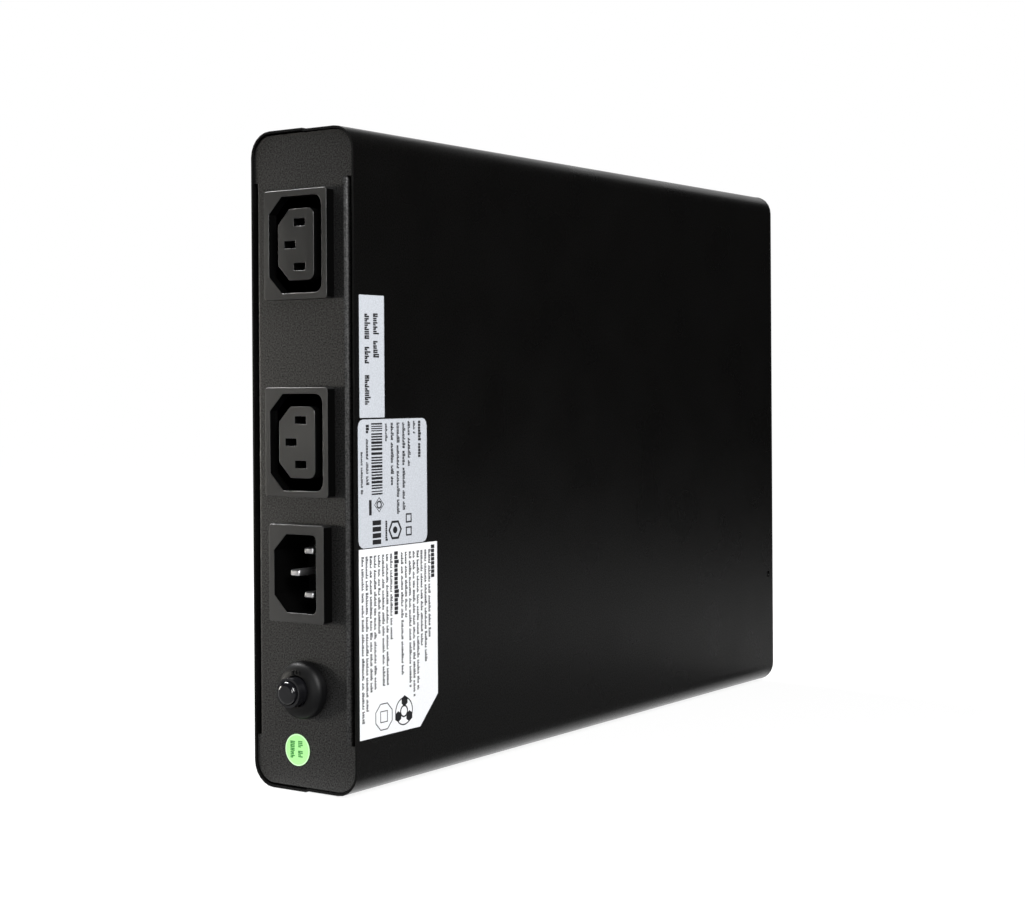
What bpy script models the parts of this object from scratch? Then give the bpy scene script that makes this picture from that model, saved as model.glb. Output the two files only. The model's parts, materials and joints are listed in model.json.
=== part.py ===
"""Slim uninterruptible power supply in a two-piece sheet steel case.

The unit stands on a long narrow edge.  +Z is up, the sockets face +Y, the
power button faces -Y and the labelled side faces -X.  The origin is the
middle of the narrow face that the unit stands on.
"""
import math

import bmesh
import bpy
from mathutils import Matrix, Vector

MM = 0.001
GAP = 0.25 * MM

# case
WIDTH = 43.0 * MM
HEIGHT = 210.4 * MM
REAR = 140.0 * MM
COVER_LENGTH = 279.2 * MM
FRONT = REAR - COVER_LENGTH
SHEET = 0.8 * MM
CORNER = 8.0 * MM
SEAM_X = -0.4 * MM
LAP = 8.0 * MM
LAP_STEP = 0.4 * MM
LAP_RAMP = 0.9 * MM
LAP_NOTCH = 4.0 * MM
SEAM_GAP = 0.15 * MM
MID = HEIGHT / 2
INNER_X = WIDTH / 2 - SHEET
QUARTER_STEPS = 6

# rear panel
PANEL_FACE = REAR - 0.5 * MM
PANEL_SHEET = 1.0 * MM
PANEL_BACK = PANEL_FACE - PANEL_SHEET
PANEL_FLANGE = 12.0 * MM
WAIST_HALF_HEIGHT = 89.3 * MM
PANEL_HALF_HEIGHT = MID - LAP_STEP - SHEET - GAP
WAIST_HALF_WIDTH = 19.2 * MM
WAIST_X = 0.8 * MM

# sockets on the rear panel
OUTLET_UPPER_Z = MID + 68.1 * MM
OUTLET_LOWER_Z = MID + 5.7 * MM
INLET_Z = MID - 35.7 * MM
BREAKER_Z = MID - 72.7 * MM
PIN_SPACING = 14.0 * MM
EARTH_OFFSET = 4.0 * MM
CONTACT_X = 0.5 * MM

OUTLET_BEZEL = (26.2 * MM, 34.6 * MM)
OUTLET_BODY = (24.0 * MM, 32.2 * MM)
OUTLET_GROOVE = (22.0 * MM, 30.6 * MM)
OUTLET_CORE = (15.0 * MM, 22.6 * MM)
OUTLET_PROUD = 3.7 * MM
OUTLET_DEPTH = 20.0 * MM
OUTLET_SLOT = (4.7 * MM, 2.4 * MM)

INLET_BEZEL = (22.9 * MM, 30.8 * MM)
INLET_BODY = (20.8 * MM, 28.4 * MM)
INLET_CAVITY = (17.5 * MM, 24.7 * MM)
INLET_PROUD = 4.1 * MM
INLET_DEPTH = 17.0 * MM
PIN = (4.0 * MM, 2.0 * MM)
PIN_ROUNDING = 0.6 * MM

# breaker
NUT_RADIUS = 9.1 * MM
NUT_THICKNESS = 4.6 * MM
BUSHING_RADIUS = 4.7 * MM
BUSHING_PROUD = 8.2 * MM
BREAKER_DEPTH = 26.0 * MM
RESET_RADIUS = 3.65 * MM
RESET_PROUD = 1.4 * MM

# front
LIP = 1.8 * MM
BUTTON_RADIUS = 6.5 * MM
BUTTON_Z = HEIGHT - 30.0 * MM
LIGHT_Z = BUTTON_Z - 16.0 * MM
BUTTON_TRAVEL = 1.0 * MM
LIGHT_RADIUS = 1.5 * MM

# main board
BOARD = 1.6 * MM
BOARD_X = -INNER_X + 5.0 * MM
BOARD_TOP = BOARD_X + BOARD
BOARD_LOW_Y = -12.0 * MM
BOARD_HIGH_Y = 102.0 * MM
BOARD_LOW_Z = 15.0 * MM
BOARD_HIGH_Z = 195.0 * MM

# battery
CELL_RADIUS = 16.1 * MM
CELL_LENGTH = 70.5 * MM
CELL_PITCH = 33.4 * MM
PACK_Y = -88.0 * MM
PACK_BASE = 22.0 * MM
HOLDER = 6.0 * MM
POCKET = 3.0 * MM

PLANES = {
    "X": Matrix(((0, 0, 1), (1, 0, 0), (0, 1, 0))).to_4x4(),
    "Y": Matrix(((1, 0, 0), (0, 0, -1), (0, 1, 0))).to_4x4(),
    "Z": Matrix.Identity(4),
}


def clear_scene():
    for obj in list(bpy.data.objects):
        bpy.data.objects.remove(obj, do_unlink=True)


def new_collection(name):
    group = bpy.data.collections.new(name)
    bpy.context.scene.collection.children.link(group)
    return group


def make_material(name, colour, roughness, metallic=0.0):
    mat = bpy.data.materials.new(name)
    mat.use_nodes = True
    shader = mat.node_tree.nodes["Principled BSDF"]
    shader.inputs["Base Color"].default_value = (*colour, 1.0)
    shader.inputs["Roughness"].default_value = roughness
    shader.inputs["Metallic"].default_value = metallic
    return mat


# ---------------------------------------------------------------- outlines

def arc_corner(point, before, after, radius, steps=QUARTER_STEPS):
    """Points of an arc that rounds the corner at point; one step is a chamfer."""
    corner = Vector(point)
    to_before = (Vector(before) - corner).normalized()
    to_after = (Vector(after) - corner).normalized()
    half = to_before.angle(to_after) / 2
    run = radius / math.tan(half)
    start = corner + to_before * run
    end = corner + to_after * run
    if steps == 1:
        return [start, end]
    centre = corner + (to_before + to_after).normalized() * radius / math.sin(half)
    turn = (start - centre).angle_signed(end - centre)
    return [centre + Matrix.Rotation(-turn * i / steps, 2) @ (start - centre) for i in range(steps + 1)]


def rounded_outline(corners):
    """corners holds (x, y, radius) or (x, y, radius, steps)."""
    points = []
    for i, corner in enumerate(corners):
        if corner[2] == 0:
            points.append(Vector(corner[:2]))
            continue
        steps = corner[3] if len(corner) > 3 else QUARTER_STEPS
        before, after = corners[i - 1], corners[(i + 1) % len(corners)]
        points += arc_corner(corner[:2], before[:2], after[:2], corner[2], steps)
    return points


def rectangle(centre, size, radius=0.0, steps=QUARTER_STEPS):
    cx, cy = centre
    hx, hy = size[0] / 2, size[1] / 2
    signs = ((-1, -1), (1, -1), (1, 1), (-1, 1))
    return rounded_outline([(cx + sx * hx, cy + sy * hy, radius, steps) for sx, sy in signs])


def socket_outline(centre, size, radius, chamfer):
    """A socket's outline: rounded at -X and chamfered at +X, where the earth contact is."""
    cx, cz = centre
    hx, hz = size[0] / 2, size[1] / 2
    return rounded_outline([
        (cx - hx, cz - hz, radius, 4),
        (cx + hx, cz - hz, chamfer, 1),
        (cx + hx, cz + hz, chamfer, 1),
        (cx - hx, cz + hz, radius, 4),
    ])


# ---------------------------------------------------------------- solids

def place(name, mesh, group, mat=None):
    obj = bpy.data.objects.new(name, mesh)
    group.objects.link(obj)
    if mat:
        mesh.materials.clear()
        mesh.materials.append(mat)
    else:
        obj.hide_render = True
        obj.display_type = "WIRE"
    return obj


def prism(name, outline, axis, low, high, group, mat=None):
    """A flat outline given in the plane square to axis, from low to high along it."""
    curve = bpy.data.curves.new(name + "_outline", "CURVE")
    curve.dimensions = "2D"
    curve.fill_mode = "BOTH"
    curve.extrude = (high - low) / 2
    spline = curve.splines.new("POLY")
    spline.points.add(len(outline) - 1)
    for point, target in zip(spline.points, outline):
        point.co = (target[0], target[1], 0, 1)
    spline.use_cyclic_u = True
    guide = bpy.data.objects.new(name + "_guide", curve)
    bpy.context.scene.collection.objects.link(guide)
    bpy.context.view_layer.update()
    evaluated = guide.evaluated_get(bpy.context.evaluated_depsgraph_get())
    mesh = bpy.data.meshes.new_from_object(evaluated)
    bpy.data.objects.remove(guide, do_unlink=True)
    shift = Vector([(low + high) / 2 if axis == key else 0 for key in "XYZ"])
    mesh.transform(Matrix.Translation(shift) @ PLANES[axis])
    shape = bmesh.new()
    shape.from_mesh(mesh)
    bmesh.ops.remove_doubles(shape, verts=shape.verts, dist=1e-6)
    bmesh.ops.recalc_face_normals(shape, faces=shape.faces)
    shape.to_mesh(mesh)
    shape.free()
    mesh.name = name
    return place(name, mesh, group, mat)


def box(name, low, high, group, mat=None, bevel=0.0):
    size = Vector(high) - Vector(low)
    shape = bmesh.new()
    bmesh.ops.create_cube(shape, size=1.0, matrix=Matrix.Diagonal((*size, 1.0)))
    mesh = bpy.data.meshes.new(name)
    shape.to_mesh(mesh)
    shape.free()
    obj = place(name, mesh, group, mat)
    obj.location = (Vector(low) + Vector(high)) / 2
    if bevel:
        round_edges(obj, bevel)
    return obj


def round_edges(obj, width, segments=2):
    bevel = obj.modifiers.new("rounding", "BEVEL")
    bevel.width = width
    bevel.segments = segments
    bevel.limit_method = "ANGLE"
    bevel.angle_limit = math.radians(40)


def cylinder(name, start, axis, radius, length, group, mat=None, sides=32, end_radius=None):
    """A round bar, or a cone, from start along +axis."""
    turn = {
        "X": Matrix.Rotation(math.pi / 2, 4, "Y"),
        "Y": Matrix.Rotation(-math.pi / 2, 4, "X"),
        "Z": Matrix.Identity(4),
    }
    shape = bmesh.new()
    bmesh.ops.create_cone(
        shape, cap_ends=True, segments=sides, radius1=radius,
        radius2=radius if end_radius is None else end_radius, depth=length,
    )
    bmesh.ops.translate(shape, verts=shape.verts, vec=(0, 0, length / 2))
    bmesh.ops.transform(shape, verts=shape.verts, matrix=turn[axis])
    mesh = bpy.data.meshes.new(name)
    shape.to_mesh(mesh)
    shape.free()
    mesh.shade_smooth()
    mesh.set_sharp_from_angle(angle=math.radians(35))
    obj = place(name, mesh, group, mat)
    obj.location = start
    return obj


def turned(name, centre, profile, group, mat, sides=32):
    """A turned piece about +Y.  profile is (radius, distance along +Y) pairs, from +Y to -Y.

    A profile that starts on the axis ends on it; any other is a closed loop round a bore.
    """
    count = len(profile)
    on_axis = profile[0][0] == 0
    edges = [(i, (i + 1) % count) for i in range(count - 1 if on_axis else count)]
    mesh = bpy.data.meshes.new(name)
    mesh.from_pydata([(r, 0, y) for r, y in profile], edges, [])
    obj = place(name, mesh, group, mat)
    obj.location = centre
    obj.rotation_euler = (-math.pi / 2, 0, 0)
    spin(obj, sides)
    return obj


def spin(obj, steps):
    screw = obj.modifiers.new("turning", "SCREW")
    screw.steps = steps
    screw.render_steps = steps
    screw.use_merge_vertices = True
    screw.merge_threshold = 1e-6
    screw.use_smooth_shade = True


def wire(name, points, radius, group, mat):
    curve = bpy.data.curves.new(name, "CURVE")
    curve.dimensions = "3D"
    curve.bevel_depth = radius
    curve.bevel_resolution = 2
    curve.use_fill_caps = True
    spline = curve.splines.new("POLY")
    spline.points.add(len(points) - 1)
    for point, target in zip(spline.points, points):
        point.co = (*target, 1)
    obj = bpy.data.objects.new(name, curve)
    curve.materials.append(mat)
    group.objects.link(obj)
    return obj


def combine(obj, other, operation):
    boolean = obj.modifiers.new(operation.lower(), "BOOLEAN")
    boolean.operation = operation
    boolean.solver = "EXACT"
    boolean.object = other


def cut(obj, other):
    combine(obj, other, "DIFFERENCE")


def join(obj, other):
    combine(obj, other, "UNION")


def shell_from_section(name, section, group, mat):
    """A sheet swept along Y from a section line in X and Z; the thickness grows to the line's left."""
    shape = bmesh.new()
    verts = [shape.verts.new((p[0], FRONT, p[1])) for p in section]
    edges = [shape.edges.new(pair) for pair in zip(verts, verts[1:])]
    swept = bmesh.ops.extrude_edge_only(shape, edges=edges)["geom"]
    moved = [item for item in swept if isinstance(item, bmesh.types.BMVert)]
    bmesh.ops.translate(shape, verts=moved, vec=(0, COVER_LENGTH, 0))
    bmesh.ops.recalc_face_normals(shape, faces=shape.faces)
    mesh = bpy.data.meshes.new(name)
    shape.to_mesh(mesh)
    shape.free()
    return place(name, mesh, group, mat)


# ---------------------------------------------------------------- case

def lap_screw_places():
    return [(y, side) for y in (95.0 * MM, -95.0 * MM) for side in (1, -1)]


def add_sheet(obj, offset):
    solid = obj.modifiers.new("sheet", "SOLIDIFY")
    solid.thickness = SHEET
    solid.offset = offset
    solid.use_even_offset = True


def left_section():
    right = WIDTH / 2
    corners = [(SEAM_X, HEIGHT, 0), (right, HEIGHT, CORNER), (right, 0, CORNER), (SEAM_X, 0, 0)]
    return rounded_outline(corners)


def right_section():
    """The other cover: its outer faces sit a little lower, and step down again under the lap."""
    side = -WIDTH / 2
    high = HEIGHT - LAP_STEP
    low = LAP_STEP
    tucked = SHEET + GAP
    step_start = SEAM_X - LAP_RAMP
    step_end = SEAM_X - 0.3 * MM
    lap_end = SEAM_X + LAP
    return rounded_outline([
        (lap_end, HEIGHT - tucked, 0), (step_end, HEIGHT - tucked, 0), (step_start, high, 0),
        (side, high, CORNER), (side, low, CORNER),
        (step_start, low, 0), (step_end, tucked, 0), (lap_end, tucked, 0),
    ])


def lap_tab(side, cutters):
    """In the notch the outer sheet runs on flat up to the other cover's edge, which closes the seam."""
    outer = MID + side * (MID - LAP_STEP)
    inner = outer - side * SHEET
    low = (SEAM_X - LAP_RAMP - 0.4 * MM, REAR - LAP_NOTCH + SEAM_GAP, min(outer, inner))
    high = (SEAM_X - SEAM_GAP, REAR, max(outer, inner))
    return box(f"lap_tab_{side}", low, high, cutters)


def make_covers(parts, cutters, paint):
    left = shell_from_section("left_cover", left_section(), parts, paint)
    right = shell_from_section("right_cover", right_section(), parts, paint)
    add_sheet(left, -1)
    add_sheet(right, -1)
    for i, (y, side) in enumerate(lap_screw_places()):
        x = SEAM_X + LAP / 2
        z = HEIGHT if side > 0 else 0
        sink = cylinder(f"screw_sink_{i}", (x, y, z - 2.0 * MM), "Z", 3.1 * MM, 4.0 * MM, cutters, sides=24)
        cut(left, sink)
        cut(right, sink)
    for side in (1, -1):
        edge = MID + side * MID
        low = (SEAM_X - LAP_RAMP - 0.15 * MM, REAR - LAP_NOTCH, edge - 3.0 * MM)
        high = (SEAM_X + LAP + MM, REAR + MM, edge + 3.0 * MM)
        cut(right, box(f"lap_notch_{side}", low, high, cutters))
        join(right, lap_tab(side, cutters))
    hole_place = (-WIDTH, REAR - 276.1 * MM, MID - 58.4 * MM)
    cut(right, cylinder("side_hole_cut", hole_place, "X", 1.35 * MM, WIDTH, cutters, sides=20))
    for i, (y, z) in enumerate(board_corners()):
        boss = cylinder(f"boss_{i}", (-INNER_X - 0.4 * MM, y, z), "X", 3.0 * MM,
                        BOARD_X - GAP + INNER_X + 0.4 * MM, cutters, sides=16)
        join(right, boss)


def make_screws(parts, cutters, steel):
    for i, (y, side) in enumerate(lap_screw_places()):
        x = SEAM_X + LAP / 2
        face = HEIGHT if side > 0 else 0
        name = f"cover_screw_{i + 1}"
        length = 3.4 * MM
        ends = (1.45 * MM, 2.75 * MM) if side > 0 else (2.75 * MM, 1.45 * MM)
        start = face - length - 0.05 * MM if side > 0 else face + 0.05 * MM
        foot = (x, y, start)
        screw = cylinder(name, foot, "Z", ends[0], length, parts, steel, sides=20, end_radius=ends[1])
        cut(screw, cylinder(name + "_recess", (x, y, face - MM), "Z", 1.1 * MM, 2.0 * MM, cutters, sides=6))


# ---------------------------------------------------------------- rear panel

def panel_channel(parts, steel):
    """The panel's middle stretch: a back with its two long edges bent forward."""
    right, left = WAIST_X - WAIST_HALF_WIDTH, WAIST_X + WAIST_HALF_WIDTH
    front = PANEL_FACE - PANEL_FLANGE
    bend = 1.8 * MM
    inner = bend - PANEL_SHEET
    outline = rounded_outline([
        (right, PANEL_FACE, bend), (right, front, 0), (right + PANEL_SHEET, front, 0),
        (right + PANEL_SHEET, PANEL_BACK, inner), (left - PANEL_SHEET, PANEL_BACK, inner),
        (left - PANEL_SHEET, front, 0), (left, front, 0), (left, PANEL_FACE, bend),
    ])
    low, high = MID - WAIST_HALF_HEIGHT, MID + WAIST_HALF_HEIGHT
    return prism("rear_panel", outline, "Z", low, high, parts, steel)


def panel_end(side, cutters):
    """The flat end of the panel, which follows the covers; a hair thinner than the channel it joins."""
    hair = 0.02 * MM
    half = INNER_X - GAP
    edge = MID + side * PANEL_HALF_HEIGHT
    radius = CORNER - SHEET - GAP
    inner = MID + side * (WAIST_HALF_HEIGHT - 0.5 * MM)
    corners = [(-half, inner, 0), (-half, edge, radius), (half, edge, radius), (half, inner, 0)]
    outline = rounded_outline(corners)
    return prism(f"panel_end_{side}", outline, "Y", PANEL_BACK + hair, PANEL_FACE - hair, cutters)


def make_rear_panel(parts, cutters, steel):
    panel = panel_channel(parts, steel)
    for side in (1, -1):
        join(panel, panel_end(side, cutters))
    openings = [
        ("outlet_upper_opening", OUTLET_BODY, OUTLET_UPPER_Z),
        ("outlet_lower_opening", OUTLET_BODY, OUTLET_LOWER_Z),
        ("inlet_opening", INLET_BODY, INLET_Z),
    ]
    for name, size, z in openings:
        grown = (size[0] + 2 * GAP, size[1] + 2 * GAP)
        cut(panel, prism(name, rectangle((0, z), grown), "Y", PANEL_BACK - MM, PANEL_FACE + MM, cutters))
    cut(panel, cylinder("breaker_opening", (0, PANEL_BACK - MM, BREAKER_Z), "Y", BUSHING_RADIUS + GAP,
                        3.0 * MM, cutters))


# ---------------------------------------------------------------- sockets

def contact_places(z):
    """Line, neutral and earth, as (name, x, z)."""
    half = EARTH_OFFSET / 2
    return [
        ("line", CONTACT_X - half, z + PIN_SPACING / 2),
        ("neutral", CONTACT_X - half, z - PIN_SPACING / 2),
        ("earth", CONTACT_X + half, z),
    ]


def make_outlet(name, z, parts, cutters, plastic, brass):
    face = PANEL_FACE + OUTLET_PROUD
    back = PANEL_BACK - OUTLET_DEPTH
    outlet = prism(name, rectangle((0, z), OUTLET_BEZEL, 1.0 * MM, 3), "Y", PANEL_FACE + 0.1 * MM, face,
                   parts, plastic)
    join(outlet, prism(name + "_body", rectangle((0, z), OUTLET_BODY), "Y", back, PANEL_FACE + MM, cutters))
    groove = prism(name + "_groove", socket_outline((0, z), OUTLET_GROOVE, 3.0 * MM, 5.4 * MM), "Y",
                   face - 16.0 * MM, face + MM, cutters)
    core = prism(name + "_core", socket_outline((0, z), OUTLET_CORE, 2.4 * MM, 4.8 * MM), "Y",
                 face - 18.0 * MM, face - 0.4 * MM, cutters)
    cut(outlet, groove)
    join(outlet, core)
    for label, x, slot_z in contact_places(z):
        slot = prism(f"{name}_slot_{label}", rectangle((x, slot_z), OUTLET_SLOT), "Y", back - MM, face + MM,
                     cutters)
        cut(outlet, slot)
        make_contact(f"{name}_contact_{label}", x, slot_z, back, face, parts, brass)


def make_contact(name, x, z, back, face, parts, brass):
    """A folded strip: a spring fork that grips the pin, and a flat tab behind."""
    half = OUTLET_SLOT[0] / 2 - GAP
    leaf = OUTLET_SLOT[1] / 2 - GAP
    sheet = 0.4 * MM
    mouth = face - 4.0 * MM
    throat = back + 3.0 * MM
    tail = back - 7.0 * MM
    outline = [
        (throat, leaf), (mouth, leaf), (mouth, leaf - sheet), (throat + sheet, leaf - sheet),
        (throat + sheet, -leaf + sheet), (mouth, -leaf + sheet), (mouth, -leaf), (throat, -leaf),
        (throat, -sheet), (tail, -sheet), (tail, sheet), (throat, sheet),
    ]
    prism(name, [(y, z + dz) for y, dz in outline], "X", x - half, x + half, parts, brass)


def make_inlet(parts, cutters, plastic, silver):
    face = PANEL_FACE + INLET_PROUD
    back = PANEL_BACK - INLET_DEPTH
    inlet = prism("inlet", rectangle((0, INLET_Z), INLET_BEZEL, 1.0 * MM, 3), "Y", PANEL_FACE + 0.1 * MM,
                  face, parts, plastic)
    join(inlet, prism("inlet_body", rectangle((0, INLET_Z), INLET_BODY), "Y", back, PANEL_FACE + MM,
                      cutters))
    cavity_outline = socket_outline((CONTACT_X, INLET_Z), INLET_CAVITY, 1.7 * MM, 5.2 * MM)
    cut(inlet, prism("inlet_cavity", cavity_outline, "Y", face - 16.5 * MM, face + MM, cutters))
    for label, x, z in contact_places(INLET_Z):
        opening = (PIN[0] + 2 * GAP, PIN[1] + 2 * GAP)
        cut(inlet, prism(f"inlet_{label}_hole", rectangle((x, z), opening), "Y", back - MM, face - 14.0 * MM,
                         cutters))
        tip = face - (2.2 if label == "earth" else 4.2) * MM
        pin = prism(f"inlet_pin_{label}", rectangle((x, z), PIN), "Y", back - 8.0 * MM, tip, parts,
                    silver)
        round_edges(pin, PIN_ROUNDING, 2)


# ---------------------------------------------------------------- breaker

def make_breaker(parts, cutters, mats):
    centre = (0, PANEL_BACK, BREAKER_Z)
    low = (-7.0 * MM, PANEL_BACK - GAP - BREAKER_DEPTH, BREAKER_Z - 15.0 * MM)
    high = (7.0 * MM, PANEL_BACK - GAP, BREAKER_Z + 15.0 * MM)
    body = box("breaker_body", low, high, parts, mats["moulding"], bevel=0.8 * MM)
    proud = PANEL_SHEET + BUSHING_PROUD
    bushing = cylinder("breaker_bushing", (0, PANEL_BACK - 4.0 * MM, BREAKER_Z), "Y", BUSHING_RADIUS,
                       proud + 4.0 * MM, cutters)
    join(body, bushing)
    bore = cylinder("breaker_bore", (0, PANEL_BACK - 9.0 * MM, BREAKER_Z), "Y", RESET_RADIUS + GAP,
                    proud + 12.0 * MM, cutters)
    cut(body, bore)
    turned("breaker_nut", (0, PANEL_FACE + 0.1 * MM, BREAKER_Z), nut_profile(), parts, mats["moulding"], 40)
    end = proud + RESET_PROUD
    stem = -6.5 * MM
    profile = [
        (0, end), (RESET_RADIUS - 0.9 * MM, end), (RESET_RADIUS, end - 0.6 * MM), (RESET_RADIUS, stem),
        (0, stem),
    ]
    turned("reset_button", centre, profile, parts, mats["moulding"], 28)
    for label, z in (("line", BREAKER_Z + 8.0 * MM), ("load", BREAKER_Z - 8.0 * MM)):
        back = PANEL_BACK - GAP - BREAKER_DEPTH
        slot = prism(f"breaker_{label}_slot", rectangle((0, z), (6.8 * MM, 1.4 * MM)), "Y", back - MM,
                     back + 5.0 * MM, cutters)
        cut(body, slot)
        prism(f"breaker_terminal_{label}", rectangle((0, z), (6.3 * MM, 0.8 * MM)), "Y", back - 9.0 * MM,
              back + 4.6 * MM, parts, mats["brass"])


def nut_profile():
    """A round ring nut whose front face falls away in a dome from the bushing to the rim."""
    inner = BUSHING_RADIUS + GAP
    falls = [(2.9, 0.2), (1.7, 0.6), (0.8, 1.2), (0.25, 1.9), (0.0, 2.7)]
    dome = [(NUT_RADIUS - inward * MM, NUT_THICKNESS - down * MM) for inward, down in falls]
    return [(inner, NUT_THICKNESS)] + dome + [(NUT_RADIUS, 0), (inner, 0)]


# ---------------------------------------------------------------- front

def make_front(parts, cutters, mats):
    plastic = mats["moulding"]
    inset = 0.3 * MM
    size = (WIDTH - 2 * inset, HEIGHT - 2 * inset)
    face = rectangle((0, MID), size, CORNER - inset)
    bezel = prism("front_bezel", face, "Y", FRONT - LIP, FRONT - 0.1 * MM, parts, plastic)
    wall = 1.6 * MM
    rim = SHEET + LAP_STEP + SHEET + 2 * GAP
    outer = (WIDTH - 2 * (SHEET + GAP), HEIGHT - 2 * rim)
    inner = (outer[0] - 2 * wall, outer[1] - 2 * wall)
    join(bezel, prism("bezel_rim", rectangle((0, MID), outer, CORNER - SHEET - GAP), "Y", FRONT - MM,
                      FRONT + 7.0 * MM, cutters))
    cut(bezel, prism("bezel_hollow", rectangle((0, MID), inner, CORNER - SHEET - GAP - wall), "Y",
                     FRONT + 0.4 * MM, FRONT + 9.0 * MM, cutters))
    for i, z in enumerate((BUTTON_Z + 13.0 * MM, LIGHT_Z - 8.0 * MM)):
        foot = (0, FRONT - MM, z)
        join(bezel, cylinder(f"bezel_post_{i}", foot, "Y", 2.5 * MM, 9.0 * MM, cutters, sides=16))
    holes = [("button_hole", BUTTON_Z, BUTTON_RADIUS, 36), ("light_hole", LIGHT_Z, LIGHT_RADIUS, 20)]
    for name, z, radius, sides in holes:
        start = (0, FRONT - 4 * MM, z)
        cut(bezel, cylinder(name, start, "Y", radius + GAP, 6 * MM, cutters, sides=sides))
    board_y = FRONT + 8.0 * MM + GAP
    board_low = (-12.0 * MM, board_y, LIGHT_Z - 12.0 * MM)
    board_high = (12.0 * MM, board_y + BOARD, BUTTON_Z + 17.0 * MM)
    box("front_board", board_low, board_high, parts, mats["board"])
    switch_face = board_y - GAP - 3.5 * MM
    half = 3.0 * MM
    box("power_switch", (-half, switch_face, BUTTON_Z - half), (half, board_y - GAP, BUTTON_Z + half), parts,
        mats["moulding"], bevel=0.4 * MM)
    make_power_button(switch_face, parts, plastic)
    pipe_back = board_y - 1.6 * MM
    pipe_front = FRONT - LIP - 0.3 * MM - pipe_back
    pipe = [(0, 0), (LIGHT_RADIUS, 0), (LIGHT_RADIUS, pipe_front + 0.7 * MM),
            (LIGHT_RADIUS - 0.6 * MM, pipe_front), (0, pipe_front)]
    turned("light_pipe", (0, pipe_back, LIGHT_Z), pipe, parts, mats["lens"], 20)


def make_power_button(switch_face, parts, plastic):
    """A cap with a slightly dished front, a retaining collar behind the bezel and a stem to the switch."""
    front = FRONT - LIP
    stem_end = switch_face - BUTTON_TRAVEL - 0.15 * MM - front
    collar = LIP + 0.4 * MM + GAP
    profile = [
        (0, stem_end), (2.0 * MM, stem_end), (2.0 * MM, collar + 1.2 * MM),
        (BUTTON_RADIUS + 1.3 * MM, collar + 1.2 * MM), (BUTTON_RADIUS + 1.3 * MM, collar),
        (BUTTON_RADIUS, collar), (BUTTON_RADIUS, -0.7 * MM), (BUTTON_RADIUS - 0.5 * MM, -1.1 * MM),
        (BUTTON_RADIUS - 1.6 * MM, -1.1 * MM), (0, -0.8 * MM),
    ]
    turned("power_button", (0, front, BUTTON_Z), profile, parts, plastic, 36)


# ---------------------------------------------------------------- labels

def make_labels(parts, mats):
    """Three labels on the -X side, each given by its distances in front of the case's rear edge."""
    outer = -WIDTH / 2 - 0.05 * MM
    sheet = 0.12 * MM
    labels = [
        ("label_battery", 2.2, 14.4, 13.4, 51.8, 0.3, "silver_label"),
        ("label_rating", 1.3, 36.0, -27.3, 12.9, 2.4, "silver_label"),
    ]
    for name, near, far, low, high, radius, finish in labels:
        centre = (REAR - (near + far) / 2 * MM, MID + (low + high) / 2 * MM)
        outline = rectangle(centre, ((far - near) * MM, (high - low) * MM), radius * MM, 3)
        prism(name, outline, "X", outer - sheet, outer, parts, mats[finish])
    near, far, low, high = REAR - 1.4 * MM, REAR - 41.2 * MM, MID - 87.0 * MM, MID - 27.6 * MM
    outline = rounded_outline([
        (near, low, 0), (far + 9.5 * MM, low, 0), (far, low + 9.5 * MM, 0), (far, high, 0), (near, high, 0),
    ])
    prism("label_caution", outline, "X", outer - sheet, outer, parts, mats["white_label"])
    turned("inspection_sticker", (3.4 * MM, PANEL_FACE + 0.05 * MM, MID - 92.2 * MM),
           [(0, sheet), (5.1 * MM, sheet), (5.1 * MM, 0), (0, 0)], parts, mats["green_label"], 36)


# ---------------------------------------------------------------- electronics

def board_corners():
    return [(y, z) for y in (BOARD_LOW_Y + 6.0 * MM, BOARD_HIGH_Y - 6.0 * MM)
            for z in (BOARD_LOW_Z + 7.0 * MM, BOARD_HIGH_Z - 7.0 * MM)]


def on_board(name, y, z, size, parts, mat, bevel=0.6 * MM):
    """A box-shaped component standing on the main board; size is height, length along Y, length along Z."""
    low = (BOARD_TOP + GAP, y - size[1] / 2, z - size[2] / 2)
    high = (BOARD_TOP + GAP + size[0], y + size[1] / 2, z + size[2] / 2)
    return box(name, low, high, parts, mat, bevel)


def make_board(parts, mats):
    centre = ((BOARD_LOW_Y + BOARD_HIGH_Y) / 2, (BOARD_LOW_Z + BOARD_HIGH_Z) / 2)
    outline = rectangle(centre, (BOARD_HIGH_Y - BOARD_LOW_Y, BOARD_HIGH_Z - BOARD_LOW_Z), 2.0 * MM, 3)
    prism("main_board", outline, "X", BOARD_X, BOARD_TOP, parts, mats["board"])


def make_transformer(parts, cutters, mats):
    y, z = 24.0 * MM, 60.0 * MM
    centre_x = BOARD_TOP + 15.0 * MM
    leg = 14.0 * MM
    window = (22.0 * MM, 7.0 * MM)
    core = prism("transformer_core", rectangle((y, z), (34.0 * MM, 42.0 * MM), 0.8 * MM, 2), "X",
                 centre_x - leg / 2, centre_x + leg / 2, parts, mats["ferrite"])
    shift = (leg + window[1]) / 2
    for side in (1, -1):
        hole = prism(f"core_window_{side}", rectangle((y, z + side * shift), window), "X", centre_x - leg,
                     centre_x + leg, cutters)
        cut(core, hole)
    wrap = window[1] - 2 * GAP
    outer = leg + 2 * GAP + 2 * wrap - GAP
    winding = prism("transformer_winding", rectangle((centre_x, z), (outer, outer), 3.0 * MM, 4), "Y",
                    y - window[0] / 2 + GAP, y + window[0] / 2 - GAP, parts, mats["tape"])
    hollow = rectangle((centre_x, z), (leg + 2 * GAP, leg + 2 * GAP))
    cut(winding, prism("winding_hollow", hollow, "Y", y - window[0], y + window[0], cutters))


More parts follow.
